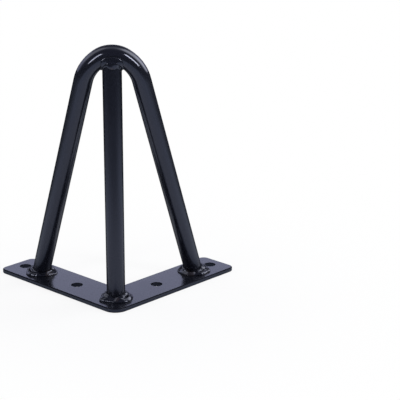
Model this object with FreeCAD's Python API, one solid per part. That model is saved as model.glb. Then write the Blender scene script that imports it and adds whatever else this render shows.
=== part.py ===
import FreeCAD, Part
import math
import os

# Hairpin table leg, standing on its mounting plate with the foot at the top. Millimetres.
# The origin is on the mounting face, where the centre lines of the two arms cross.
# One arm runs along +X and the other along +Y. The leg is the same on both sides of the plane x = y.

# Mounting plate
arm_length = 122.0
arm_width = 31.8
plate_thickness = 3.2
outer_corner_radius = 10.0
inner_corner_radius = 3.0
end_corner_radius = 5.0
edge_rounding = 0.8

# Screw holes, two on the centre line of each arm
hole_diameter = 8.0
hole_rim_rounding = 0.3
end_hole_margin = 10.0
near_hole_distance = 56.0

# Rods, one diameter for all: half-inch bar with its coat
rod_diameter = 12.9
overall_height = 187.0
side_foot_margin = 27.5
centre_foot_inset = 18.0
bend_top_inset = 4.0

# Bend of the hairpin rod, radii on its centre line: tight at the top, wider on the shoulders
bend_radius = 13.5
bend_half_angle = 38.0
shoulder_radius = 30.0
cope_depth = 3.0

# Weld beads, laid as overlapping lumps that grow and shrink a little round each joint
lumps_per_weld = 16
foot_weld_reach = 4.3
top_weld_front_reach = 4.8
top_weld_front_bite = 2.4
top_weld_side_reach = 2.2
acute_side_gain = 0.15

# Unevenness of the lumps round one joint, as two waves of size, one on top of the other
lump_unevenness = 0.07
slow_waves = 3
slow_wave_start = 0.8
quick_waves = 5
quick_wave_share = 0.6

# Length of rod below the foot before it is cut level with the plate
cut_allowance = 25.0

half_width = arm_width / 2
rod_radius = rod_diameter / 2
outer_edge = -half_width
arm_end = arm_length - half_width
foot_level = plate_thickness
up = FreeCAD.Vector(0, 0, 1)
across = FreeCAD.Vector(1, -1, 0).normalize()

side_foot_along = arm_end - side_foot_margin
centre_foot_along = centre_foot_inset - half_width
bend_top_along = bend_top_inset - half_width
x_arm_foot = FreeCAD.Vector(side_foot_along, 0, foot_level)
y_arm_foot = FreeCAD.Vector(0, side_foot_along, foot_level)
centre_foot = FreeCAD.Vector(centre_foot_along, centre_foot_along, foot_level)
bend_top = FreeCAD.Vector(bend_top_along, bend_top_along, overall_height - rod_radius)


def corner_arc(centre_x, centre_y, radius, start_degrees, end_degrees):
    """Rounded corner of the plate's outline, as an edge on the mounting face."""
    points = []
    for degrees in (start_degrees, (start_degrees + end_degrees) / 2, end_degrees):
        angle = math.radians(degrees)
        x = centre_x + radius * math.cos(angle)
        y = centre_y + radius * math.sin(angle)
        points.append(FreeCAD.Vector(x, y, 0))
    return Part.Arc(*points).toShape()


def plate_outline():
    """Closed outline of the L, anticlockwise from its outer corner."""
    outer = outer_edge + outer_corner_radius
    end = arm_end - end_corner_radius
    side_outer = outer_edge + end_corner_radius
    side_inner = half_width - end_corner_radius
    inner = half_width + inner_corner_radius
    corners = [
        corner_arc(outer, outer, outer_corner_radius, 180, 270),
        corner_arc(end, side_outer, end_corner_radius, 270, 360),
        corner_arc(end, side_inner, end_corner_radius, 0, 90),
        corner_arc(inner, inner, inner_corner_radius, 270, 180),
        corner_arc(side_inner, end, end_corner_radius, 0, 90),
        corner_arc(side_outer, end, end_corner_radius, 90, 180),
    ]
    edges = []
    for corner, following in zip(corners, corners[1:] + corners[:1]):
        straight = Part.LineSegment(corner.valueAt(corner.LastParameter),
                                    following.valueAt(following.FirstParameter))
        edges += [corner, straight.toShape()]
    return Part.Wire(edges)


def flat_edges(shape, hole_rims):
    """Edges that lie level on the plate's two faces: the rims of its holes, or else its outline."""
    level = [edge for edge in shape.Edges if edge.BoundBox.ZLength < edge_rounding]
    return [edge for edge in level if edge.isClosed() == hole_rims]


def mounting_plate():
    """Flat steel L with softened edges and four plain screw holes."""
    blank = Part.Face(plate_outline()).extrude(up * plate_thickness)
    plate = blank.makeFillet(edge_rounding, flat_edges(blank, False))
    for along in (near_hole_distance - half_width, arm_end - end_hole_margin):
        for place in (FreeCAD.Vector(along, 0, 0), FreeCAD.Vector(0, along, 0)):
            drill = Part.makeCylinder(hole_diameter / 2, plate_thickness, place)
            plate = plate.cut(drill)
    return plate.makeFillet(hole_rim_rounding, flat_edges(plate, True))


def hairpin_points(side):
    """Points on one half of the bent rod's centre line, on the side of the X arm (1) or the Y arm (-1).

    They are the leg's end, which overruns the foot, the top of its straight leg, the middle of the
    shoulder arc, and the end of the tight arc over the top. All lie in the plane through both feet
    and the top of the bend, and each stretch touches the next.
    """
    middle = (x_arm_foot + y_arm_foot) * 0.5
    half_span = (x_arm_foot - middle).Length
    rise = (bend_top - middle).Length
    slope = (bend_top - middle).normalize()

    sweep = math.radians(bend_half_angle)
    crown_centre = rise - bend_radius
    shoulder_x = (bend_radius - shoulder_radius) * math.sin(sweep)
    shoulder_y = crown_centre + (bend_radius - shoulder_radius) * math.cos(sweep)
    foot_x = half_span - shoulder_x
    foot_y = -shoulder_y
    touch = math.atan2(foot_y, foot_x) + math.acos(shoulder_radius / math.hypot(foot_x, foot_y))

    def place(sideways, height):
        return middle + across * (side * sideways) + slope * height

    def on_shoulder(angle):
        return place(shoulder_x + shoulder_radius * math.cos(angle),
                     shoulder_y + shoulder_radius * math.sin(angle))

    handover_angle = math.pi / 2 - sweep
    leg_top = on_shoulder(touch)
    shoulder_middle = on_shoulder((touch + handover_angle) / 2)
    handover = on_shoulder(handover_angle)
    foot = place(half_span, 0)
    leg_end = foot + (foot - leg_top).normalize() * cut_allowance
    return leg_end, leg_top, shoulder_middle, handover


def leg_direction(side):
    """Direction of one straight leg of the bent rod, upwards from its foot."""
    leg_end, leg_top, _, _ = hairpin_points(side)
    return (leg_top - leg_end).normalize()


def hairpin_path():
    """Centre line of the bent rod, from under the foot on the X arm to under the one on the Y arm."""
    near_end, near_top, near_shoulder, near_handover = hairpin_points(1)
    far_end, far_top, far_shoulder, far_handover = hairpin_points(-1)
    stretches = [
        Part.LineSegment(near_end, near_top),
        Part.Arc(near_top, near_shoulder, near_handover),
        Part.Arc(near_handover, bend_top, far_handover),
        Part.Arc(far_handover, far_shoulder, far_top),
        Part.LineSegment(far_top, far_end),
    ]
    return Part.Wire([stretch.toShape() for stretch in stretches])


def below_foot_level():
    """Block of everything lower than the top of the plate, which ends the rods and the welds."""
    reach = arm_length + cut_allowance
    depth = cut_allowance + rod_diameter
    return Part.makeBox(2 * reach, 2 * reach, depth, FreeCAD.Vector(-reach, -reach, foot_level - depth))


def hairpin_rod():
    """Round rod bent into a U, both ends cut flush with the top of the plate."""
    leg_end = hairpin_points(1)[0]
    section = Part.Wire(Part.Circle(leg_end, leg_direction(1), rod_radius).toShape())
    sweep = Part.BRepOffsetAPI.MakePipeShell(hairpin_path())
    sweep.setBiNormalMode((x_arm_foot - bend_top).cross(y_arm_foot - bend_top))
    sweep.add(section)
    sweep.build()
    sweep.makeSolid()
    return sweep.shape().cut(below_foot_level())


def centre_rod_axis():
    """Direction of the straight rod, from its foot to the middle of the rod at the top of the bend."""
    return (bend_top - centre_foot).normalize()


def centre_rod_length():
    """Foot to the end of the coped top, which reaches a little above the underside of the bend."""
    return (bend_top - centre_foot).Length - rod_radius + cope_depth


def centre_rod(hairpin):
    """Straight rod, flush with the plate below and hollowed at the top to seat in the bend."""
    axis = centre_rod_axis()
    start = centre_foot - axis * cut_allowance
    blank = Part.makeCylinder(rod_radius, centre_rod_length() + cut_allowance, start, axis)
    return blank.cut(below_foot_level()).cut(hairpin)


def lump_radius(reach, angle):
    """Size of one lump of weld at an angle round the joint, uneven as a hand-laid bead is."""
    slow = math.sin(slow_waves * angle + slow_wave_start)
    quick = quick_wave_share * math.sin(quick_waves * angle)
    return reach * (1 + lump_unevenness * (slow + quick))


def bead(centres, radii, carriers):
    """Ring of overlapping round lumps with the pieces that it joins taken away."""
    lumps = [Part.makeSphere(radius, centre) for centre, radius in zip(centres, radii)]
    ring = lumps[0].multiFuse(lumps[1:])
    for carrier in carriers:
        ring = ring.cut(carrier)
    return ring


def foot_weld(foot, axis, rod):
    """Bead round the foot of a rod, fuller on the side that the rod leans over."""
    lean = FreeCAD.Vector(axis.x, axis.y, 0).normalize()
    beside = up.cross(lean)
    long_radius = rod_radius / axis.z
    centres = []
    radii = []
    for number in range(lumps_per_weld):
        angle = 2 * math.pi * number / lumps_per_weld
        centres.append(foot + lean * (long_radius * math.cos(angle)) + beside * (rod_radius * math.sin(angle)))
        fuller = 1 + acute_side_gain * math.cos(angle)
        radii.append(lump_radius(foot_weld_reach * fuller, angle))
    return bead(centres, radii, [rod, below_foot_level()])


def meeting_height(surface_point, axis, hairpin):
    """How far up the straight rod a line along its surface first meets the bend."""
    top_point = surface_point + axis * centre_rod_length()
    line = Part.LineSegment(surface_point, top_point).toShape()
    return line.cut(hairpin).Edges[0].Length


def top_weld(hairpin, straight):
    """Bead round the top of the straight rod, wide and flat in front and behind, thin in the crotches."""
    axis = centre_rod_axis()
    forward = across.cross(axis).normalize()
    centres = []
    radii = []
    for number in range(lumps_per_weld):
        angle = 2 * math.pi * number / lumps_per_weld
        out = forward * math.cos(angle) + across * math.sin(angle)
        on_surface = centre_foot + out * rod_radius
        front_share = math.cos(angle) ** 2
        sunk = out * (top_weld_front_bite * front_share)
        centres.append(on_surface - sunk + axis * meeting_height(on_surface, axis, hairpin))
        reach = top_weld_side_reach + (top_weld_front_reach - top_weld_side_reach) * front_share
        radii.append(lump_radius(reach, angle))
    return bead(centres, radii, [hairpin, straight])


def make_parts():
    hairpin = hairpin_rod()
    straight = centre_rod(hairpin)
    return {
        "mounting_plate": mounting_plate(),
        "hairpin_rod": hairpin,
        "centre_rod": straight,
        "x_arm_foot_weld": foot_weld(x_arm_foot, leg_direction(1), hairpin),
        "y_arm_foot_weld": foot_weld(y_arm_foot, leg_direction(-1), hairpin),
        "centre_foot_weld": foot_weld(centre_foot, centre_rod_axis(), straight),
        "top_weld": top_weld(hairpin, straight),
    }


os.makedirs("parts", exist_ok=True)
for name, shape in make_parts().items():
    solids = len(shape.Solids)
    box = shape.BoundBox
    print(name, "solids", solids, "valid", shape.isValid(), "volume", round(shape.Volume, 1),
          "faces", len(shape.Faces), "z", round(box.ZMin, 2), round(box.ZMax, 2))
    shape.exportStep("parts/" + name + ".step")
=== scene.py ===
"""Hairpin table leg: powder coat, weld beads and a studio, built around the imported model."""

import math
from collections import namedtuple

import bpy
from mathutils import Matrix, Quaternion, Vector, noise
from mathutils.bvhtree import BVHTree


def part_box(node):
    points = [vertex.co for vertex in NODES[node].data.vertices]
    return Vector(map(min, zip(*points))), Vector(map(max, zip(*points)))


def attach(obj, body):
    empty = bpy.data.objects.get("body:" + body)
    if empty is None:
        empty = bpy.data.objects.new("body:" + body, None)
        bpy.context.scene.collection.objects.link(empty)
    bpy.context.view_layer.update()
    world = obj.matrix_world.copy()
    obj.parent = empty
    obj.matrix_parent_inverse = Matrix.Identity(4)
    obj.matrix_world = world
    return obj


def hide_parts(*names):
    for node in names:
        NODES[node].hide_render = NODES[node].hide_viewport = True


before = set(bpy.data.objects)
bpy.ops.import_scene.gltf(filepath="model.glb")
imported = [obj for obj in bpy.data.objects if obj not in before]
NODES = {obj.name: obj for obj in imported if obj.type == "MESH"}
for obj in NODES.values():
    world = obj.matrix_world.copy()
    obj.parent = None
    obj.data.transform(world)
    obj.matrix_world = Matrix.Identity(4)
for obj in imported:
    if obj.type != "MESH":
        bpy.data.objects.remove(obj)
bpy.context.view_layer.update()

bl_info = {
    "name": "Hairpin Table Leg",
    "version": (1, 0, 0),
    "blender": (4, 5, 0),
    "location": "3D View > Sidebar > Hairpin Leg",
    "description": "Coats, weld beads and studio for a welded steel hairpin table leg",
    "category": "Object",
}

MM = 0.001
UP = Vector((0, 0, 1))
WHITE = (1.0, 1.0, 1.0)
PLATE_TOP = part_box("mounting_plate")[1].z


# Shader maths


class Signal:
    """A number that varies over a surface, for use in ordinary arithmetic."""

    def __init__(self, sheet, socket):
        self.sheet = sheet
        self.socket = socket

    def maths(self, operation, first, second=None):
        """One Math node on one or two numbers."""
        inputs = {0: first} if second is None else {0: first, 1: second}
        return self.sheet.node("ShaderNodeMath", {"operation": operation}, inputs)["Value"]

    def __add__(self, other):
        return self.maths("ADD", self, other)

    def __radd__(self, other):
        return self.maths("ADD", other, self)

    def __sub__(self, other):
        return self.maths("SUBTRACT", self, other)

    def __rsub__(self, other):
        return self.maths("SUBTRACT", other, self)

    def __mul__(self, other):
        return self.maths("MULTIPLY", self, other)

    def __rmul__(self, other):
        return self.maths("MULTIPLY", other, self)

    def __truediv__(self, other):
        return self.maths("DIVIDE", self, other)

    def __rtruediv__(self, other):
        return self.maths("DIVIDE", other, self)

    def __pow__(self, other):
        return self.maths("POWER", self, other)

    def above(self, other):
        """The greater of this and another."""
        return self.maths("MAXIMUM", self, other)

    def below(self, other):
        """The lesser of this and another."""
        return self.maths("MINIMUM", self, other)

    def size(self):
        """This without its sign."""
        return self.maths("ABSOLUTE", self)

    def ramp(self, low, high):
        """0 up to low, 1 from high on, and a smooth rise between."""
        settings = {"interpolation_type": "SMOOTHSTEP"}
        values = {"Value": self, "From Min": low, "From Max": high, "To Min": 0.0, "To Max": 1.0}
        return self.sheet.node("ShaderNodeMapRange", settings, values)["Result"]


class NodeSheet:
    """The node tree of one material or of the world."""

    def __init__(self, owner):
        owner.use_nodes = True
        self.tree = owner.node_tree
        self.tree.nodes.clear()

    def node(self, kind, settings=None, inputs=None):
        """Adds one node: its settings first, then its values and links."""
        made = self.tree.nodes.new(kind)
        for name, value in (settings or {}).items():
            setattr(made, name, value)
        for name, value in (inputs or {}).items():
            if isinstance(value, Signal):
                self.tree.links.new(value.socket, made.inputs[name])
            else:
                made.inputs[name].default_value = value
        return {output.name: Signal(self, output) for output in made.outputs if output.enabled}

    def vector_maths(self, operation, first, second, result="Vector"):
        """Sum, product, dot product or distance of two vectors or colours."""
        return self.node("ShaderNodeVectorMath", {"operation": operation}, {0: first, 1: second})[result]

    def place(self):
        """Position on the object, in millimetres."""
        metres = self.node("ShaderNodeTexCoord")["Object"]
        return self.vector_maths("MULTIPLY", metres, (1 / MM, 1 / MM, 1 / MM))

    def along(self, vector, way):
        """How far a vector goes one way."""
        return self.vector_maths("DOT_PRODUCT", vector, way, "Value")

    def distance(self, place, point):
        """How far a place lies from a point."""
        return self.vector_maths("DISTANCE", place, point, "Value")

    def scaled(self, colour, share):
        """A colour times a number that varies."""
        values = {0: colour, "Scale": share}
        return self.node("ShaderNodeVectorMath", {"operation": "SCALE"}, values)["Vector"]

    def mixed(self, share, first, second):
        """One colour at a share of 0, the other at 1."""
        first, second = [way if isinstance(way, Signal) else (*way, 1.0) for way in (first, second)]
        settings = {"data_type": "RGBA", "clamp_factor": True}
        return self.node("ShaderNodeMix", settings, {0: share, 6: first, 7: second})["Result"]

    def cloud(self, place, size, detail=2.0):
        """Soft noise from 0 to 1 whose features are about so many millimetres across."""
        values = {"Vector": place, "Scale": 1 / size, "Detail": detail}
        return self.node("ShaderNodeTexNoise", {"noise_dimensions": "3D"}, values)["Fac"]

    def specks(self, place, spacing):
        """Distance to the nearest of scattered points, in spacings."""
        settings = {"voronoi_dimensions": "3D", "feature": "F1"}
        values = {"Vector": place, "Scale": 1 / spacing}
        return self.node("ShaderNodeTexVoronoi", settings, values)["Distance"]

    def bump(self, height, depth):
        """Surface normal for a relief whose height of 1 stands so many metres proud."""
        values = {"Height": height, "Distance": depth, "Strength": 1.0}
        return self.node("ShaderNodeBump", None, values)["Normal"]

    def facing_away(self):
        """0 where a surface is seen square on, 1 where it is seen edge on."""
        return self.node("ShaderNodeLayerWeight", None, {"Blend": 0.5})["Facing"]

    def output(self, kind, surface):
        """The last node, of a material or of the world."""
        self.node(kind, None, {"Surface": surface})


# Coats


class CoatSettings(bpy.types.PropertyGroup):
    """Black powder coat of the plate, the rods and the welds."""

    black: bpy.props.FloatVectorProperty(
        name="Coat colour",
        description="Blue-black of the powder coat on the plate and the rods",
        subtype="COLOR", size=3, min=0.0, max=1.0,
        default=(0.0044, 0.0048, 0.0075),
    )
    sheen_tint: bpy.props.FloatVectorProperty(
        name="Sheen tint",
        description="Tint of the light that the coat throws back when seen straight on",
        subtype="COLOR", size=3, min=0.0, max=1.0,
        default=(0.76, 0.80, 1.0),
    )
    weld_brown: bpy.props.FloatVectorProperty(
        name="Thin coat colour",
        description="Brown-black where the coat lies thin over a weld",
        subtype="COLOR", size=3, min=0.0, max=1.0,
        default=(0.015, 0.011, 0.011),
    )
    rod_roughness: bpy.props.FloatProperty(
        name="Rod roughness", description="Mean roughness of the coat on the rods",
        subtype="FACTOR", min=0.05, max=1.0, default=0.20,
    )
    plate_roughness: bpy.props.FloatProperty(
        name="Plate roughness", description="Mean roughness of the coat on the plate",
        subtype="FACTOR", min=0.05, max=1.0, default=0.22,
    )
    weld_roughness: bpy.props.FloatProperty(
        name="Weld roughness", description="Mean roughness of the coat that has run over the welds",
        subtype="FACTOR", min=0.05, max=1.0, default=0.09,
    )
    refraction: bpy.props.FloatProperty(
        name="Refractive index", description="How strongly the coat mirrors the room",
        min=1.0, max=3.0, default=1.55,
    )
    peel_size: bpy.props.FloatProperty(
        name="Orange peel size", description="Distance between the soft waves in the coat",
        unit="LENGTH", min=0.2 * MM, max=5 * MM, default=1.4 * MM, precision=5,
    )
    peel_height: bpy.props.FloatProperty(
        name="Orange peel height", description="Height of the soft waves in the coat",
        unit="LENGTH", min=0.0, max=0.1 * MM, default=0.005 * MM, precision=6,
    )


# Unevenness of every coat: sizes in millimetres, shares of the colour, shifts of the roughness, and
# reliefs as shares of the orange peel's height
BROAD_CLOUDS = 22.0
FINE_CLOUDS = 3.2
DUST = 0.22
NIB_SPACING = 11.0
NIB_EDGE = (0.02, 0.05)
LIGHTEST = 1.5
BROAD_SHARE = 0.55
FINE_SHARE = 0.45
BROAD_SHEEN = 0.07
FINE_SHEEN = 0.05
DUST_SHEEN = 0.05
DUST_RELIEF = 0.03
NIB_RELIEF = 0.8

# Drawing streaks along the rods: how the noise is squeezed along each axis, and the heights in
# millimetres over which they give way to the smoother coat of the bend
STREAK_SQUEEZE = (1.1, 1.1, 0.03)
STREAK_END = (130, 155)
STREAK_RELIEF = 0.5
STREAK_SHEEN = 0.05
BEND_GLOSS = 0.08

# Where the plate's edges count as rounded, by how much of its normal points up or down
EDGE_STARTS = (0.1, 0.5)
EDGE_ENDS = (0.97, 0.997)
EDGE_SHEEN = 0.3
EDGE_DULLNESS = 0.95

# Where the coats of the rods and the welds lose their mirror, by how far they are seen edge on
RIM_STARTS = (0.45, 0.85)
RIM_DULLNESS = 0.9

# Spots where the coat lies thin and brown over a weld, in millimetres
ThinSpot = namedtuple("ThinSpot", "middle radius")
THIN_SPOTS = (
    ThinSpot((-4.5, -5.5, 7.0), 3.5),
    ThinSpot((-1.5, 66.5, 5.5), 6.0),
    ThinSpot((67.0, -6.0, 5.0), 7.0),
    ThinSpot((-17.5, -17.5, 169.0), 5.5),
)
THIN_CLOUDS = 3.0
THIN_NEARNESS = 0.55
THIN_EDGE = (0.75, 1.0)
THIN_BROWN = 0.8
THIN_SHEEN = 0.2
THIN_GRAIN = 0.7
THIN_RELIEF = 1.2


def even_coat(coat, place, roughness, settings):
    """Colour, roughness and relief of any coat: a little uneven, with orange peel and a few nibs."""
    broad = coat.cloud(place, BROAD_CLOUDS, detail=3.0)
    fine = coat.cloud(place, FINE_CLOUDS, detail=3.0)
    peel = coat.cloud(place, settings.peel_size / MM, detail=1.5)
    dust = coat.cloud(place, DUST, detail=1.0)
    nibs = 1 - coat.specks(place, NIB_SPACING).ramp(*NIB_EDGE)
    lighter = [channel * LIGHTEST for channel in settings.black]
    colour = coat.mixed(broad * BROAD_SHARE + fine * FINE_SHARE, settings.black, lighter)
    shift = (broad - 0.5) * BROAD_SHEEN + (fine - 0.5) * FINE_SHEEN + (dust - 0.5) * DUST_SHEEN
    return colour, roughness + shift, peel + dust * DUST_RELIEF + nibs * NIB_RELIEF


def finish_coat(coat, colour, roughness, relief, dullness, settings):
    """Gloss of the coat, which mirrors nothing where the dullness is 1."""
    glossy = coat.node("ShaderNodeBsdfPrincipled", None, {
        "Base Color": colour,
        "Roughness": roughness,
        "Normal": coat.bump(relief, settings.peel_height),
        "IOR": settings.refraction,
        "Specular Tint": (*settings.sheen_tint, 1.0),
    })["BSDF"]
    dull = coat.node("ShaderNodeBsdfPrincipled", None, {
        "Base Color": colour,
        "Roughness": 1.0,
        "Specular IOR Level": 0.0,
    })["BSDF"]
    shader = coat.node("ShaderNodeMixShader", None, {0: dullness, 1: glossy, 2: dull})["Shader"]
    coat.output("ShaderNodeOutputMaterial", shader)


def plate_coat(settings):
    """Coat of the plate, dull along its rounded edges."""
    material = bpy.data.materials.new("plate_coat")
    coat = NodeSheet(material)
    colour, roughness, relief = even_coat(coat, coat.place(), settings.plate_roughness, settings)
    tilt = coat.along(coat.node("ShaderNodeNewGeometry")["Normal"], UP).size()
    rounding = tilt.ramp(*EDGE_STARTS) * (1 - tilt.ramp(*EDGE_ENDS))
    roughness = roughness + rounding * EDGE_SHEEN
    finish_coat(coat, colour, roughness, relief, rounding * EDGE_DULLNESS, settings)
    return material


def rim_dullness(coat):
    """How much of its mirror a round coat has lost where it is seen edge on."""
    return coat.facing_away().ramp(*RIM_STARTS) * RIM_DULLNESS


def rod_coat(settings):
    """Coat of the rods: the streaks of drawn bar show through it, up to the bend."""
    material = bpy.data.materials.new("rod_coat")
    coat = NodeSheet(material)
    place = coat.place()
    colour, roughness, relief = even_coat(coat, place, settings.rod_roughness, settings)
    drawn = coat.cloud(coat.vector_maths("MULTIPLY", place, STREAK_SQUEEZE), 1.0)
    smooth = coat.along(place, UP).ramp(*STREAK_END)
    relief = relief + drawn * (1 - smooth) * STREAK_RELIEF
    roughness = roughness + (drawn - 0.5) * STREAK_SHEEN - smooth * BEND_GLOSS
    finish_coat(coat, colour, roughness, relief, rim_dullness(coat), settings)
    return material


def weld_coat(settings):
    """Coat that has run over the welds: glossy, and thin, brown and grainy in a few spots."""
    material = bpy.data.materials.new("weld_coat_runs")
    coat = NodeSheet(material)
    place = coat.place()
    colour, roughness, relief = even_coat(coat, place, settings.weld_roughness, settings)
    far = [coat.distance(place, spot.middle).ramp(spot.radius / 2, spot.radius) for spot in THIN_SPOTS]
    near = sum(1 - away for away in far)
    thin = (near * THIN_NEARNESS + coat.cloud(place, THIN_CLOUDS, detail=2.5)).ramp(*THIN_EDGE)
    colour = coat.mixed(thin * THIN_BROWN, colour, settings.weld_brown)
    roughness = roughness + thin * THIN_SHEEN
    relief = relief + coat.cloud(place, THIN_GRAIN) * thin * THIN_RELIEF
    finish_coat(coat, colour, roughness, relief, rim_dullness(coat), settings)
    return material


def give(piece, material):
    """Puts one material on every face of a piece."""
    piece.data.materials.clear()
    piece.data.materials.append(material)


class HAIRPIN_OT_plate_coat(bpy.types.Operator):
    """Coat the mounting plate"""

    bl_idname = "hairpin.plate_coat"
    bl_label = "Coat the Plate"

    def execute(self, context):
        give(NODES["mounting_plate"], plate_coat(context.scene.hairpin_coat))
        return {"FINISHED"}


class HAIRPIN_OT_rod_coat(bpy.types.Operator):
    """Coat the bent rod and the centre rod, whose drawn bar shows faint streaks along it"""

    bl_idname = "hairpin.rod_coat"
    bl_label = "Coat the Rods"

    def execute(self, context):
        material = rod_coat(context.scene.hairpin_coat)
        for node in ("hairpin_rod", "centre_rod"):
            give(NODES[node], material)
        return {"FINISHED"}


# Weld beads


class WeldSettings(bpy.types.PropertyGroup):
    """Size and roughness of form of the hand-laid weld beads."""

    foot_front_rise: bpy.props.FloatProperty(
        name="Foot bead rise in front", description="How far a foot bead climbs the rod in front and behind",
        unit="LENGTH", min=1 * MM, max=8 * MM, default=2.9 * MM, precision=5,
    )
    foot_side_rise: bpy.props.FloatProperty(
        name="Foot bead rise at the sides", description="How far a foot bead climbs the rod at its two sides",
        unit="LENGTH", min=1 * MM, max=8 * MM, default=4.9 * MM, precision=5,
    )
    foot_spread: bpy.props.FloatProperty(
        name="Foot bead spread", description="How far a foot bead reaches out over the plate",
        unit="LENGTH", min=1 * MM, max=8 * MM, default=4.2 * MM, precision=5,
    )
    foot_bulge: bpy.props.FloatProperty(
        name="Foot bead bulge", description="Height of a foot bead over the corner that it fills",
        unit="LENGTH", min=0.5 * MM, max=6 * MM, default=2.9 * MM, precision=5,
    )
    top_front_reach: bpy.props.FloatProperty(
        name="Top bead reach in front", description="How far the top bead spreads up and down in front",
        unit="LENGTH", min=1 * MM, max=8 * MM, default=4.8 * MM, precision=5,
    )
    top_side_reach: bpy.props.FloatProperty(
        name="Top bead reach at the sides", description="How far the top bead reaches in the two corners",
        unit="LENGTH", min=0.5 * MM, max=8 * MM, default=1.7 * MM, precision=5,
    )
    top_front_bulge: bpy.props.FloatProperty(
        name="Top bead bulge in front", description="Height of the top bead over the corner in front",
        unit="LENGTH", min=0.5 * MM, max=6 * MM, default=2.0 * MM, precision=5,
    )
    top_side_bulge: bpy.props.FloatProperty(
        name="Top bead bulge at the sides", description="Height of the top bead in the two corners",
        unit="LENGTH", min=0.1 * MM, max=6 * MM, default=0.6 * MM, precision=5,
    )
    lump_size: bpy.props.FloatProperty(
        name="Lump size", description="Distance between the lumps that the hand-held torch left",
        unit="LENGTH", min=1 * MM, max=12 * MM, default=5.2 * MM, precision=5,
    )
    lump_height: bpy.props.FloatProperty(
        name="Lump height", description="How far the lumps stand proud of the bead",
        unit="LENGTH", min=0.0, max=3 * MM, default=1.4 * MM, precision=5,
    )
    ripple_spacing: bpy.props.FloatProperty(
        name="Ripple spacing", description="Distance along a bead between its crescent ripples",
        unit="LENGTH", min=0.2 * MM, max=5 * MM, default=2.6 * MM, precision=5,
    )
    ripple_height: bpy.props.FloatProperty(
        name="Ripple height", description="Height of the crescent ripples",
        unit="LENGTH", min=0.0, max=1 * MM, default=0.12 * MM, precision=5,
    )


# Round the foot of each rod: the rod, a seed, and the places where the torch dwelt, each with its
# direction seen from above and its half-width, both in degrees, and how much further the bead reaches
# there over the plate and up the rod, in millimetres
FootWeld = namedtuple("FootWeld", "rod seed dwells")
Dwell = namedtuple("Dwell", "direction width further_out further_up")
FOOT_WELDS = {
    "x_arm_foot_weld": FootWeld("hairpin_rod", 62, (Dwell(300, 30, 1.2, 0.6), Dwell(160, 30, 0.8, 0.8))),
    "y_arm_foot_weld": FootWeld("hairpin_rod", 97, (Dwell(165, 35, 1.2, 0.0), Dwell(300, 30, 0.8, 1.2))),
    "centre_foot_weld": FootWeld("centre_rod", 29, (Dwell(162, 16, 2.0, 0.0), Dwell(282, 30, 1.6, 0.8))),
}
TOP_WELD_SEED = 41
TOP_WELD_CALM = 0.6

# How finely a bead is made and how its seam is found
STEPS_ROUND = 400
STEPS_ACROSS = 40
CENTRING_PASSES = 4
ABOVE_PLATE = 0.1 * MM
FOOT_AXIS_HEIGHT = 12 * MM
TOP_AXIS_HEIGHT = 30 * MM
INSIDE_WALL = 0.02 * MM
SMOOTHING_PASSES = 10

# Form of a bead: how its noise shifts with each seed, how far its edge wanders, how round its corner is,
# how deep its edge, its skirts and its root are sunk, and how its face turns, fades and follows the bend
SEED_SHIFT = (3.7, 1.3, 2.1)
WANDER_SIZE = 4 * MM
WANDER = 0.35
CORNER_SOFTNESS = 0.30
SUNK_EDGE = 0.10 * MM
SKIRT_REACH = 0.55
SKIRT_DEPTH = 0.6 * MM
ROOT_DEPTH = 0.9 * MM
TOWARDS_CORNER = 0.35
RELIEF_FADE = 1.8
CARRIED_FROM = 0.4

# Ripples: how far they curve back at a bead's edges, how they wander, and where they show
RIPPLE_CURVE = 1.4 * MM
RIPPLE_WANDER = 0.9 * MM
RIPPLE_WANDER_SIZE = 3 * MM
RIPPLE_PATCH_SIZE = 5 * MM
RIPPLE_LEAST = 0.3
RIPPLE_CONTRAST = 1.8

# One place on the closed seam between a rod and what it is welded to: the way along each surface away
# from the seam, and both outward normals
SeamPlace = namedtuple("SeamPlace", "angle point rod_way base_way rod_normal base_normal")


def surface_tree(node):
    """Search tree over the surface of one fixed node."""
    mesh = NODES[node].data
    corners = [vertex.co.copy() for vertex in mesh.vertices]
    return BVHTree.FromPolygons(corners, [tuple(polygon.vertices) for polygon in mesh.polygons])


def section_centre(tree, guess, height):
    """Middle of a rod at one height, from the walls found to its left, right, front and back."""
    centre = Vector((guess.x, guess.y, height))
    for _ in range(CENTRING_PASSES):
        for way in (Vector((1, 0, 0)), Vector((0, 1, 0))):
            ahead = tree.ray_cast(centre, way)[0]
            behind = tree.ray_cast(centre, -way)[0]
            if ahead is None or behind is None:
                raise RuntimeError("no rod was found round its foot")
            centre = (ahead + behind) / 2
    return centre


def foot_seam(rod, near):
    """Seam round the foot of a rod, on the top of the plate."""
    tree = surface_tree(rod)
    foot = section_centre(tree, near, PLATE_TOP + ABOVE_PLATE)
    axis = (section_centre(tree, foot, PLATE_TOP + FOOT_AXIS_HEIGHT) - foot).normalized()
    seam = []
    for step in range(STEPS_ROUND):
        angle = 2 * math.pi * step / STEPS_ROUND
        point = tree.ray_cast(foot, Vector((math.cos(angle), math.sin(angle), 0)))[0]
        arm = point - foot
        outward = (arm - axis * arm.dot(axis)).normalized()
        level = Vector((outward.x, outward.y, 0)).normalized()
        seam.append(SeamPlace(angle, Vector((point.x, point.y, PLATE_TOP)), axis, level, outward, UP))
    return seam


def seam_distances(seam):
    """Distance along the seam at each place."""
    distances = [0.0]
    for here, after in zip(seam, seam[1:]):
        distances.append(distances[-1] + (after.point - here.point).length)
    return distances


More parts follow.
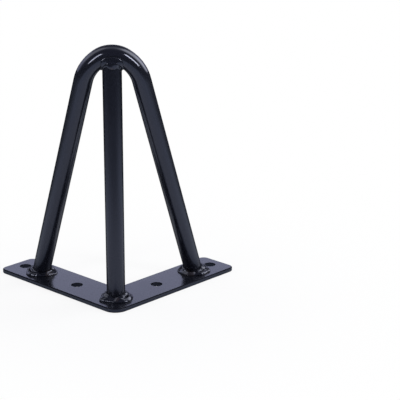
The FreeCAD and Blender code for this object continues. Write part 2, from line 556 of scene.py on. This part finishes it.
def weld_relief(distance, across, base, drift, settings, calm):
    """Height of the lumps and the crescent ripples at one place on a bead."""
    lumps = noise.noise(base / settings.lump_size + drift)
    patchy = noise.noise(base / RIPPLE_PATCH_SIZE - drift)
    wander = noise.noise(base / RIPPLE_WANDER_SIZE + 2 * drift)
    turns = (distance + RIPPLE_CURVE * across * across + RIPPLE_WANDER * wander) / settings.ripple_spacing
    crest = math.sin(2 * math.pi * turns)
    ripples = settings.ripple_height * crest * max(0.0, RIPPLE_LEAST + RIPPLE_CONTRAST * patchy)
    return calm * (settings.lump_height * lumps + ripples)


def corner_shares(across):
    """Shares of a bead's rise and of its spread, from -1 on the base's edge to 1 on the rod's edge."""
    most = math.sqrt(1 + CORNER_SOFTNESS ** 2) - CORNER_SOFTNESS
    rounding = (math.sqrt(across * across + CORNER_SOFTNESS ** 2) - CORNER_SOFTNESS) / most
    rise_share = (rounding + across) / 2 if across > 0 else 0.0
    spread_share = (rounding - across) / 2 if across < 0 else 0.0
    return rise_share, spread_share


def eased(share):
    """A share from 0 to 1 that starts and ends gently."""
    return share * share * (3 - 2 * share)


def between(first, second, share):
    """One number at a share of 0, the other at 1."""
    return first + (second - first) * share


def bead_mesh(name, seam, rises, spreads, bulges, settings, seed, calm=1.0, carrier=None):
    """Closed bead of weld along a seam, with lumps, ripples and an uneven edge.

    Rises are its reach along the rod and spreads along the base, place by place. The lumps and ripples
    are as high as calm is of their full height. Where the base is curved, carrier is its search tree.
    """
    drift = Vector([seed * shift for shift in SEED_SHIFT])
    vertices = []
    for here, distance, rise, spread, bulge in zip(seam, seam_distances(seam), rises, spreads, bulges):
        corner = (here.rod_normal + here.base_normal).normalized()
        rise = rise * (1 + WANDER * noise.noise(here.point / WANDER_SIZE + drift))
        spread = spread * (1 + WANDER * noise.noise(here.point / WANDER_SIZE + 2 * drift))
        for step in range(STEPS_ACROSS + 1):
            across = 2 * step / STEPS_ACROSS - 1
            rise_share, spread_share = corner_shares(across)
            base = here.point + here.rod_way * (rise * rise_share) + here.base_way * (spread * spread_share)
            if carrier and across < 0:
                nearest = carrier.find_nearest(base)[0]
                base = base.lerp(nearest, eased(min(1.0, -across / CARRIED_FROM)))
            facing = here.base_normal.lerp(here.rod_normal, eased((across + 1) / 2))
            facing = (facing + corner * TOWARDS_CORNER).normalized()
            face = max(0.0, 1 - across * across)
            relief = weld_relief(distance, across, base, drift, settings, calm) * min(1.0, RELIEF_FADE * face)
            vertices.append(base + facing * (bulge * math.sqrt(face) - SUNK_EDGE + relief))
        skirt = min(rise, spread) * SKIRT_REACH
        vertices.append(here.point + here.rod_way * skirt - here.rod_normal * SKIRT_DEPTH)
        vertices.append(here.point - corner * ROOT_DEPTH)
        vertices.append(here.point + here.base_way * skirt - here.base_normal * SKIRT_DEPTH)
    ring = len(vertices) // STEPS_ROUND
    faces = []
    for i in range(STEPS_ROUND):
        after = (i + 1) % STEPS_ROUND
        for j in range(ring):
            beside = (j + 1) % ring
            faces.append((i * ring + j, after * ring + j, after * ring + beside, i * ring + beside))
    mesh = bpy.data.meshes.new(name)
    mesh.from_pydata([tuple(vertex) for vertex in vertices], [], faces)
    mesh.update()
    mesh.shade_smooth()
    return mesh


def add_bead(name, node, mesh, context):
    """Puts a coated bead in the scene in place of its fixed node."""
    piece = bpy.data.objects.new(name, mesh)
    context.scene.collection.objects.link(piece)
    give(piece, bpy.data.materials.get("weld_coat_runs") or weld_coat(context.scene.hairpin_coat))
    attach(piece, "root")
    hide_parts(node)


def foot_reaches(seam, dwells, settings):
    """How far a foot bead rises and spreads, place by place."""
    rises = []
    spreads = []
    for here in seam:
        side = math.sin(here.angle - math.pi / 4) ** 2
        rise = between(settings.foot_front_rise, settings.foot_side_rise, side)
        spread = settings.foot_spread
        for dwell in dwells:
            off = (math.degrees(here.angle) - dwell.direction + 180) % 360 - 180
            share = math.exp(-(off / dwell.width) ** 2)
            rise += dwell.further_up * share * MM
            spread += dwell.further_out * share * MM
        rises.append(rise)
        spreads.append(spread)
    return rises, spreads


class HAIRPIN_OT_foot_welds(bpy.types.Operator):
    """Lay the bead round the foot of each rod"""

    bl_idname = "hairpin.foot_welds"
    bl_label = "Weld the Feet"

    def execute(self, context):
        settings = context.scene.hairpin_weld
        for node, weld in FOOT_WELDS.items():
            low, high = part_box(node)
            seam = foot_seam(weld.rod, (low + high) / 2)
            rises, spreads = foot_reaches(seam, weld.dwells, settings)
            bulges = [settings.foot_bulge] * STEPS_ROUND
            mesh = bead_mesh(node + "_bead", seam, rises, spreads, bulges, settings, weld.seed)
            add_bead(node + "_bead", node, mesh, context)
        return {"FINISHED"}


def top_seam():
    """Seam where the top of the centre rod meets the inside of the bend, and the bend's search tree."""
    rod = surface_tree("centre_rod")
    bend = surface_tree("hairpin_rod")
    low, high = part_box("centre_foot_weld")
    foot = section_centre(rod, (low + high) / 2, PLATE_TOP + ABOVE_PLATE)
    axis = (section_centre(rod, foot, PLATE_TOP + TOP_AXIS_HEIGHT) - foot).normalized()
    reach = max((vertex.co - foot).dot(axis) for vertex in NODES["centre_rod"].data.vertices)
    start = reach - TOP_AXIS_HEIGHT
    across = Vector((1, -1, 0)).normalized()
    forward = across.cross(axis).normalized()
    radius = (rod.ray_cast(foot + axis * start, across)[0] - foot - axis * start).length
    angles = [2 * math.pi * step / STEPS_ROUND for step in range(STEPS_ROUND)]
    outwards = [forward * math.cos(angle) + across * math.sin(angle) for angle in angles]
    heights = []
    for outward in outwards:
        hit = bend.ray_cast(foot + outward * (radius - INSIDE_WALL) + axis * start, axis, reach - start)[3]
        heights.append(reach if hit is None else start + hit)
    for _ in range(SMOOTHING_PASSES):
        before = heights[-1:] + heights[:-1]
        after = heights[1:] + heights[:1]
        heights = [sum(three) / 3 for three in zip(before, heights, after)]
    points = [foot + outward * radius + axis * height for outward, height in zip(outwards, heights)]
    seam = []
    for step, (angle, outward, point) in enumerate(zip(angles, outwards, points)):
        along = (points[(step + 1) % STEPS_ROUND] - points[step - 1]).normalized()
        normal = bend.find_nearest(point)[1]
        away = along.cross(normal).normalized()
        if away.dot(axis + outward) < 0:
            away = -away
        seam.append(SeamPlace(angle, point, -axis, away, outward, normal))
    return seam, bend


class HAIRPIN_OT_top_weld(bpy.types.Operator):
    """Lay the bead round the top of the centre rod, inside the bend"""

    bl_idname = "hairpin.top_weld"
    bl_label = "Weld the Top"

    def execute(self, context):
        settings = context.scene.hairpin_weld
        seam, bend = top_seam()
        reaches = []
        bulges = []
        for here in seam:
            front = math.cos(here.angle) ** 2
            reaches.append(between(settings.top_side_reach, settings.top_front_reach, front))
            bulges.append(between(settings.top_side_bulge, settings.top_front_bulge, front))
        mesh = bead_mesh("top_weld_bead", seam, reaches, reaches, bulges, settings, TOP_WELD_SEED,
                         TOP_WELD_CALM, bend)
        add_bead("top_weld_bead", "top_weld", mesh, context)
        return {"FINISHED"}


# Studio


class StudioSettings(bpy.types.PropertyGroup):
    """Floor, walls, lamps and camera."""

    floor_size: bpy.props.FloatProperty(
        name="Floor size", description="Side of the white floor",
        unit="LENGTH", min=1.0, max=50.0, default=14.0,
    )
    floor_colour: bpy.props.FloatVectorProperty(
        name="Floor colour", description="Colour of the floor paper",
        subtype="COLOR", size=3, min=0.0, max=1.0, default=(0.8, 0.8, 0.8),
    )
    # Lit paper, far paper and paper tint set the paper's painted glow, which only the coat's mirror sees: a
    # painted pool of light round the leg that fades to the far paper
    pool_level: bpy.props.FloatProperty(
        name="Lit paper", description="Brightness of the lit paper round the leg, as the coat mirrors it",
        min=0.0, max=5.0, default=0.85,
    )
    paper_tint: bpy.props.FloatVectorProperty(
        name="Paper tint", description="Tint of the paper as the coat mirrors it",
        subtype="COLOR", size=3, min=0.0, max=1.0, default=(0.72, 0.81, 1.0),
    )
    paper_level: bpy.props.FloatProperty(
        name="Far paper", description="Brightness of the paper far from the leg, as the coat mirrors it",
        min=0.0, max=5.0, default=0.11,
    )
    wall_level: bpy.props.FloatProperty(
        name="Back wall", description="Brightness of the wall behind the leg",
        min=0.0, max=5.0, default=1.22,
    )
    room_level: bpy.props.FloatProperty(
        name="Room", description="Brightness of the rest of the room",
        min=0.0, max=5.0, default=0.19,
    )
    wall_colour: bpy.props.FloatVectorProperty(
        name="Wall colour", description="Tint of the light from the walls",
        subtype="COLOR", size=3, min=0.0, max=1.0, default=(0.70, 0.73, 1.0),
    )
    window_level: bpy.props.FloatProperty(
        name="Window", description="Brightness of the window behind the leg on the right",
        min=0.0, max=50.0, default=3.68,
    )
    right_strip_level: bpy.props.FloatProperty(
        name="Right strip lamp", description="Brightness of the upright strip lamp on the right",
        min=0.0, max=100.0, default=17.0,
    )
    left_strip_level: bpy.props.FloatProperty(
        name="Left strip lamp", description="Brightness of the upright strip lamp on the left",
        min=0.0, max=100.0, default=12.0,
    )
    card_level: bpy.props.FloatProperty(
        name="White card", description="Brightness of the white card on the left",
        min=0.0, max=50.0, default=1.36,
    )
    top_level: bpy.props.FloatProperty(
        name="Top lamp", description="Brightness of the soft lamp overhead",
        min=0.0, max=50.0, default=0.576,
    )
    lens: bpy.props.FloatProperty(
        name="Lens", description="Focal length of the camera",
        unit="CAMERA", min=10.0, max=500.0, default=138.18,
    )


# Where the camera stands, in metres, how it is turned, and its line of sight along the floor
CAMERA_PLACE = Vector((-0.68772, -0.72385, 0.39625))
CAMERA_YAW = math.radians(43.12)
CAMERA_PITCH = math.radians(-17.82)
CAMERA_ROLL = math.radians(0.18)
SENSOR_WIDTH = 36.0
SIGHT_END = 50.0
SIGHT = Vector((math.cos(CAMERA_YAW), math.sin(CAMERA_YAW), 0))
SIDEWAYS = Vector((math.sin(CAMERA_YAW), -math.cos(CAMERA_YAW), 0))

# Lights round the leg: angle to the right of the line of sight, angle above the floor, the width and
# height that each one takes up as seen from the leg, and how far it leans, all in degrees
Light = namedtuple("Light", "right above wide high lean")
WINDOW = Light(68, 31, 34, 70, 12)
RIGHT_STRIP = Light(120, 17, 9, 36, 34)
LEFT_STRIP = Light(-135, 15, 9, 36, -35)
WHITE_CARD = Light(-70, 43, 32, 56, 0)
TOP_LAMP = Light(0, 82, 64, 30, 0)
LEG_MIDDLE = Vector((0.0, 0.0, 0.10))
LAMP_DISTANCE = 1.6

# Back wall: how far a way through the room goes along the line of sight where the wall comes up, and
# how far upwards where it ends
WALL_SIDES = (-0.1, 0.8)
WALL_TOP = (0.37, 0.47)

# Soft lights in the room: how far a way goes towards one where it starts to count, and how steep the
# edge is
GLOW_HALF = (0.0, 0.3)
GLOW_STEEPNESS = 4

# Ovals on the paper, each with its middle and its half-lengths in metres, along the line of sight and
# across it: the painted pool of light as it looks from low down and as it looks from steeply above, a
# painted shade in front towards the camera, the part that keeps the leg's real shadow, and a painted
# shade between the two arms
Oval = namedtuple("Oval", "middle reach")
POOL = Oval((-0.023, 0.025), (0.150, 0.290))
STEEP_POOL = Oval((-0.150, 0.020), (0.350, 0.550))
CAMERA_SHADE = Oval((-0.200, 0.030), (0.120, 0.120))
SHADOW_PART = Oval((0.0, 0.0), (0.130, 0.130))
ARM_SHADE = Oval((0.070, -0.010), (0.070, 0.068))

# How deep each painted shade is, how bright the painted pool is from steeply above, and how far edge on
# the floor is seen there and from low down
CAMERA_SHADE_DEPTH = 0.55
ARM_SHADE_DEPTH = 0.65
STEEP_POOL_SHARE = 0.9
STEEP_LIMITS = (0.38, 0.52)

# Painted shade beside the plate, and how much of the leg's real shadow the coat mirrors and the camera
# sees
FLOOR_GAP = 0.05 * MM
CONTACT_REACH = 14 * MM
CONTACT_DEPTH = 0.2
MIRRORED_SHADOW = 0.6
SEEN_SHADOW = 0.15


def add_camera(lens):
    """Camera at the place from which the leg is seen."""
    ahead = SIGHT * math.cos(CAMERA_PITCH) + UP * math.sin(CAMERA_PITCH)
    level = ahead.cross(UP).normalized()
    upward = level.cross(ahead).normalized()
    right = level * math.cos(CAMERA_ROLL) + upward * math.sin(CAMERA_ROLL)
    top = upward * math.cos(CAMERA_ROLL) - level * math.sin(CAMERA_ROLL)
    data = bpy.data.cameras.new("leg_camera")
    data.lens = lens
    data.sensor_width = SENSOR_WIDTH
    data.clip_end = SIGHT_END
    camera = bpy.data.objects.new("leg_camera", data)
    camera.matrix_world = Matrix((
        (right.x, top.x, -ahead.x, CAMERA_PLACE.x),
        (right.y, top.y, -ahead.y, CAMERA_PLACE.y),
        (right.z, top.z, -ahead.z, CAMERA_PLACE.z),
        (0, 0, 0, 1),
    ))
    bpy.context.scene.collection.objects.link(camera)
    bpy.context.scene.camera = camera


def aim(light):
    """Way from the leg to a light, and the turn that makes the light face the leg."""
    right, above = math.radians(light.right), math.radians(light.above)
    flat = SIGHT * math.cos(right) + SIDEWAYS * math.sin(right)
    away = flat * math.cos(above) + UP * math.sin(above)
    return away, away.to_track_quat("Z", "Y") @ Quaternion(UP, math.radians(light.lean))


def add_lamp(name, light, level):
    """Lamp that faces the leg and looks so many times as bright as white paper."""
    away, turn = aim(light)
    data = bpy.data.lights.new(name, "AREA")
    data.shape = "RECTANGLE"
    data.size = 2 * LAMP_DISTANCE * math.tan(math.radians(light.wide / 2))
    data.size_y = 2 * LAMP_DISTANCE * math.tan(math.radians(light.high / 2))
    data.energy = level * math.pi * data.size * data.size_y
    lamp = bpy.data.objects.new(name, data)
    lamp.location = LEG_MIDDLE + away * LAMP_DISTANCE
    lamp.rotation_euler = turn.to_euler()
    lamp.visible_camera = False
    bpy.context.scene.collection.objects.link(lamp)


def glow(room, way, light):
    """1 in the middle of a soft-edged light far away, a half at its edge, and 0 well outside."""
    away, turn = aim(light)
    across = room.along(way, turn @ Vector((1, 0, 0))) / math.sin(math.radians(light.wide / 2))
    upward = room.along(way, turn @ Vector((0, 1, 0))) / math.sin(math.radians(light.high / 2))
    spread = across * across + upward * upward
    return room.along(way, away).ramp(*GLOW_HALF) / (1 + spread ** GLOW_STEEPNESS)


def oval(paper, place, shape):
    """1 in the middle of an oval on the floor, a half at its edge, and 0 far outside."""
    ahead = (paper.along(place, SIGHT) - shape.middle[0]) / shape.reach[0]
    aside = (paper.along(place, SIDEWAYS) - shape.middle[1]) / shape.reach[1]
    spread = aside * aside + ahead * ahead
    return 1 / (1 + spread * spread)


def painted_contact_shade(paper, place):
    """1 on the floor right beside the plate, where a contact shade is painted, and 0 past the shade's reach.
    """
    low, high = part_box("mounting_plate")
    x, y = paper.along(place, (1, 0, 0)), paper.along(place, (0, 1, 0))
    from_x_arm = (low.x - x).above(x - high.x).above(y.size() + low.y)
    from_y_arm = (low.y - y).above(y - high.y).above(x.size() + low.x)
    return 1 - from_x_arm.below(from_y_arm).ramp(0.0, CONTACT_REACH)


def floor_paper(settings):
    """Paper that looks white to the camera, and to what mirrors it glows with a painted pool of light and
    painted shades round the leg.
    """
    material = bpy.data.materials.new("floor_paper")
    paper = NodeSheet(material)
    place = paper.node("ShaderNodeTexCoord")["Object"]
    rays = paper.node("ShaderNodeLightPath")
    mirrored = rays["Is Glossy Ray"].above(rays["Is Transmission Ray"])
    steep = 1 - paper.facing_away().ramp(*STEEP_LIMITS)
    # Painted contact shade on the paper beside the plate, seen in what the coat mirrors
    beside = painted_contact_shade(paper, place)
    near = oval(paper, place, SHADOW_PART)

    # Painted light and shade that only the coat's mirror sees: a pool of light round the leg, brighter from
    # steeply above, a shade in front towards the camera and a shade between the two arms
    painted_low_pool = oval(paper, place, POOL) * (1 - CAMERA_SHADE_DEPTH * oval(paper, place, CAMERA_SHADE))
    pool = painted_low_pool.above(STEEP_POOL_SHARE * steep * oval(paper, place, STEEP_POOL))
    lit = settings.paper_level + settings.pool_level * pool
    painted_light_and_shade = lit * (1 - ARM_SHADE_DEPTH * oval(paper, place, ARM_SHADE)) * (1 - CONTACT_DEPTH * beside)
    tint = paper.mixed(mirrored, WHITE, settings.paper_tint)
    light = paper.scaled(tint, 1 + mirrored * (painted_light_and_shade - 1))

    to_mirrors = mirrored * (1 - MIRRORED_SHADOW * near * (1 - beside))
    to_camera = rays["Is Camera Ray"] * (1 - SEEN_SHADOW * near)
    shining = paper.node("ShaderNodeEmission", None, {"Color": light})["Emission"]
    matt = paper.node("ShaderNodeBsdfDiffuse", None, {"Color": (*settings.floor_colour, 1.0)})["BSDF"]
    shares = {0: to_mirrors.above(to_camera), 1: matt, 2: shining}
    paper.output("ShaderNodeOutputMaterial", paper.node("ShaderNodeMixShader", None, shares)["Shader"])
    return material


def add_floor(settings):
    """White floor that keeps the leg's shadow."""
    half = settings.floor_size / 2
    corners = [(-half, -half, 0), (half, -half, 0), (half, half, 0), (-half, half, 0)]
    mesh = bpy.data.meshes.new("floor")
    mesh.from_pydata(corners, [], [(0, 1, 2, 3)])
    floor = bpy.data.objects.new("floor", mesh)
    floor.location.z = -FLOOR_GAP
    bpy.context.scene.collection.objects.link(floor)
    give(floor, floor_paper(settings))


def add_world(settings):
    """White to the camera, with a pale wall behind the leg, a dimmer room and three soft lights."""
    world = bpy.data.worlds.new("studio")
    bpy.context.scene.world = world
    room = NodeSheet(world)
    camera = room.node("ShaderNodeLightPath")["Is Camera Ray"]
    way = room.node("ShaderNodeTexCoord")["Generated"]
    behind = room.along(way, SIGHT).ramp(*WALL_SIDES)
    low = 1 - room.along(way, UP).ramp(*WALL_TOP)
    level = settings.room_level + settings.wall_level * (behind * low)
    tint = room.mixed(camera, settings.wall_colour, WHITE)
    walls = room.scaled(tint, level.above(camera))
    window = glow(room, way, WINDOW) * settings.window_level
    card = glow(room, way, WHITE_CARD) * settings.card_level
    overhead = glow(room, way, TOP_LAMP) * settings.top_level
    light = room.vector_maths("ADD", walls, (window + card + overhead) * (1 - camera))
    background = room.node("ShaderNodeBackground", None, {"Color": light})["Background"]
    room.output("ShaderNodeOutputWorld", background)


class HAIRPIN_OT_studio(bpy.types.Operator):
    """Set up the floor, the lamps and the camera"""

    bl_idname = "hairpin.studio"
    bl_label = "Set Up the Studio"

    def execute(self, context):
        settings = context.scene.hairpin_studio
        context.scene.view_settings.view_transform = "Standard"
        add_camera(settings.lens)
        add_floor(settings)
        add_world(settings)
        add_lamp("right_strip", RIGHT_STRIP, settings.right_strip_level)
        add_lamp("left_strip", LEFT_STRIP, settings.left_strip_level)
        return {"FINISHED"}


# Add-on


OPERATORS = (
    HAIRPIN_OT_plate_coat,
    HAIRPIN_OT_rod_coat,
    HAIRPIN_OT_foot_welds,
    HAIRPIN_OT_top_weld,
    HAIRPIN_OT_studio,
)
GROUPS = {
    "hairpin_coat": CoatSettings,
    "hairpin_weld": WeldSettings,
    "hairpin_studio": StudioSettings,
}


class HAIRPIN_PT_panel(bpy.types.Panel):
    """Pieces of the hairpin leg"""

    bl_idname = "HAIRPIN_PT_panel"
    bl_label = "Hairpin Leg"
    bl_space_type = "VIEW_3D"
    bl_region_type = "UI"
    bl_category = "Hairpin Leg"

    def draw(self, context):
        layout = self.layout
        for operator in OPERATORS:
            layout.operator(operator.bl_idname)
        for name in GROUPS:
            group = getattr(context.scene, name)
            box = layout.box()
            for field in group.__annotations__:
                box.prop(group, field)


def register():
    for group in GROUPS.values():
        bpy.utils.register_class(group)
    for name, group in GROUPS.items():
        setattr(bpy.types.Scene, name, bpy.props.PointerProperty(type=group))
    for operator in OPERATORS:
        bpy.utils.register_class(operator)
    bpy.utils.register_class(HAIRPIN_PT_panel)


def unregister():
    bpy.utils.unregister_class(HAIRPIN_PT_panel)
    for operator in reversed(OPERATORS):
        bpy.utils.unregister_class(operator)
    for name, group in GROUPS.items():
        delattr(bpy.types.Scene, name)
        bpy.utils.unregister_class(group)


def main():
    register()
    bpy.ops.hairpin.plate_coat()
    bpy.ops.hairpin.rod_coat()
    bpy.ops.hairpin.foot_welds()
    bpy.ops.hairpin.top_weld()
    bpy.ops.hairpin.studio()


if __name__ == "__main__":
    main()
